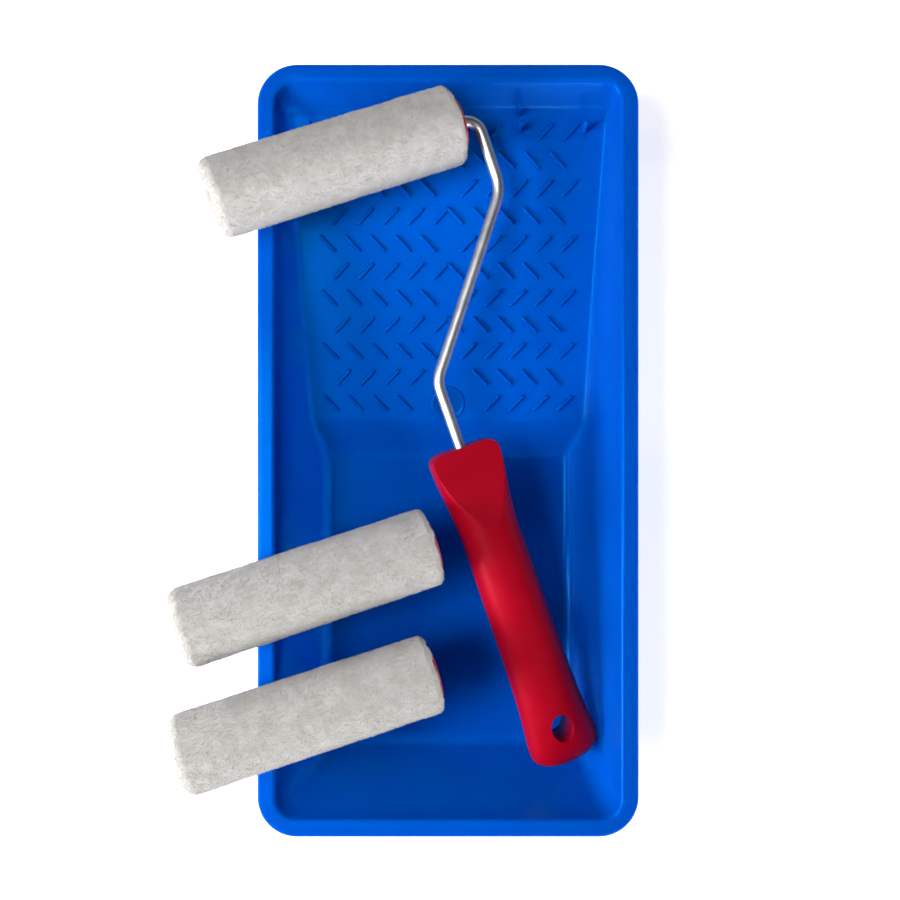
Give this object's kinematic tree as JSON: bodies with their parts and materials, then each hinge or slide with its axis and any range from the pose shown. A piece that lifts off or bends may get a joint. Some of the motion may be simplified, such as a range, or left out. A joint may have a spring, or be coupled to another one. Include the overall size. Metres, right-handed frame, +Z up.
{
  "type": "paint roller tray",
  "caption": "Moulded paint tray with a ribbed ramp and a deep well, a mini roller on a bent wire frame with a moulded handle, and spare pile sleeves lying across its rim.",
  "frame": {"origin": "centre of the flat underside of the well, which is the plane the tray stands on", "axes": "+Z up, +Y from the well towards the top of the ramp along the tray's length, +X across the tray"},
  "size_m": [0.1916, 0.324, 0.093],
  "materials": {
    "tray_plastic": "glossy blue moulded polypropylene",
    "handle_plastic": "satin red moulded plastic",
    "wire_steel": "bright zinc-plated drawn wire",
    "spring_steel": "plain spring steel",
    "pile_fabric": "short woven white pile",
    "core_plastic": "plain extruded plastic tube",
    "cap_plastic": "orange-red moulded plastic"
  },
  "bodies": {
    "tray": {"tray": "tray_plastic"},
    "roller_frame": {"wire_frame": "wire_steel", "handle": "handle_plastic", "retaining_clip": "spring_steel", "stop_collar": "spring_steel"},
    "roller_sleeve": {"roller_pile_cover": "pile_fabric", "roller_core_tube": "core_plastic", "roller_bearing_cap": "cap_plastic", "roller_end_plug": "cap_plastic"},
    "spare_sleeve_1": {"spare_1_pile_cover": "pile_fabric", "spare_1_core_tube": "core_plastic", "spare_1_bearing_cap": "cap_plastic", "spare_1_end_plug": "cap_plastic"},
    "spare_sleeve_2": {"spare_2_pile_cover": "pile_fabric", "spare_2_core_tube": "core_plastic", "spare_2_bearing_cap": "cap_plastic", "spare_2_end_plug": "cap_plastic"}
  },
  "joints": [
    {"name": "roller_lift", "type": "slide", "parent": "tray", "child": "roller_frame", "axis": [0, 0, 1], "range_m": [0, 0.1]},
    {"name": "roller_spin", "type": "hinge", "parent": "roller_frame", "child": "roller_sleeve", "pos_m": [-0.0366, 0.1906, 0.06405], "axis": [0.9217, 0.3435, -0.1803], "continuous": true},
    {"name": "spare_1_lift", "type": "slide", "parent": "tray", "child": "spare_sleeve_1", "axis": [0, 0, 1], "range_m": [0, 0.07]},
    {"name": "spare_2_lift", "type": "slide", "parent": "tray", "child": "spare_sleeve_2", "axis": [0, 0, 1], "range_m": [0, 0.07]}
  ]
}
